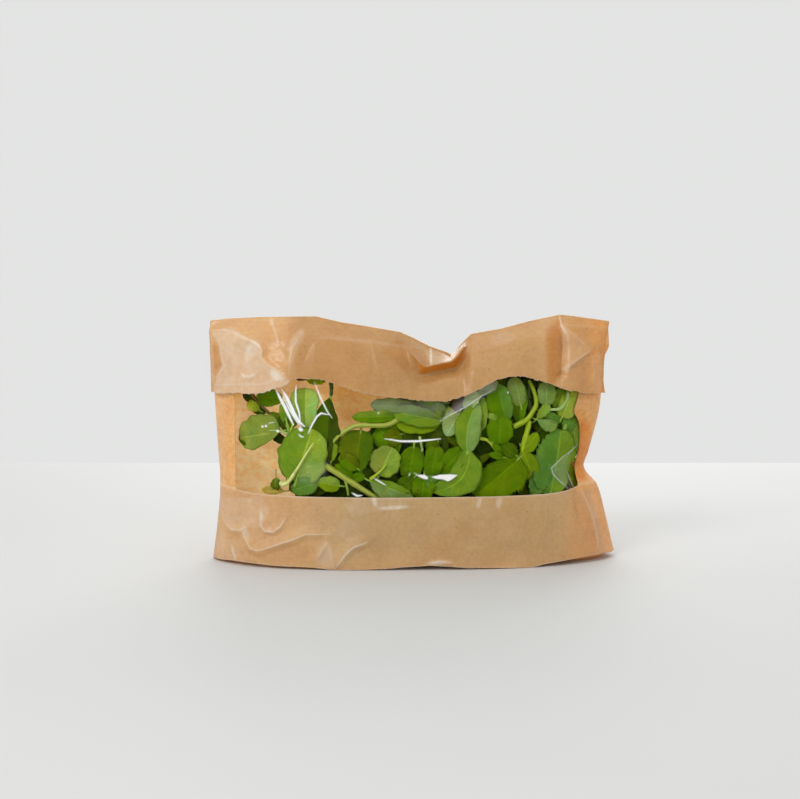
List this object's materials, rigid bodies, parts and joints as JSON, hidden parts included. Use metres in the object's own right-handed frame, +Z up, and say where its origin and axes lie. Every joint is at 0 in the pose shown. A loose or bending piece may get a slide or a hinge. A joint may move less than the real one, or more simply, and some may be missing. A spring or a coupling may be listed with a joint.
{
  "type": "pack of fresh mint",
  "caption": "Standing kraft paper pack with a clear window across its front, its top folded over as a flap, filled with fresh mint sprigs.",
  "frame": {"origin": "middle of the pack's base, on the surface that it stands on", "axes": "+Z up, -Y towards the window side, +X to the right seen from the window side"},
  "size_m": [0.2576, 0.0593, 0.1564],
  "materials": {
    "kraft": "brown kraft paper, satin where the clear film covers it",
    "film": "clear glossy plastic film",
    "mint": "fresh green leaves with a soft sheen"
  },
  "bodies": {
    "root": {"kraft_bag": "kraft", "window_film": "film", "mint_sprigs": "mint"}
  },
  "joints": []
}
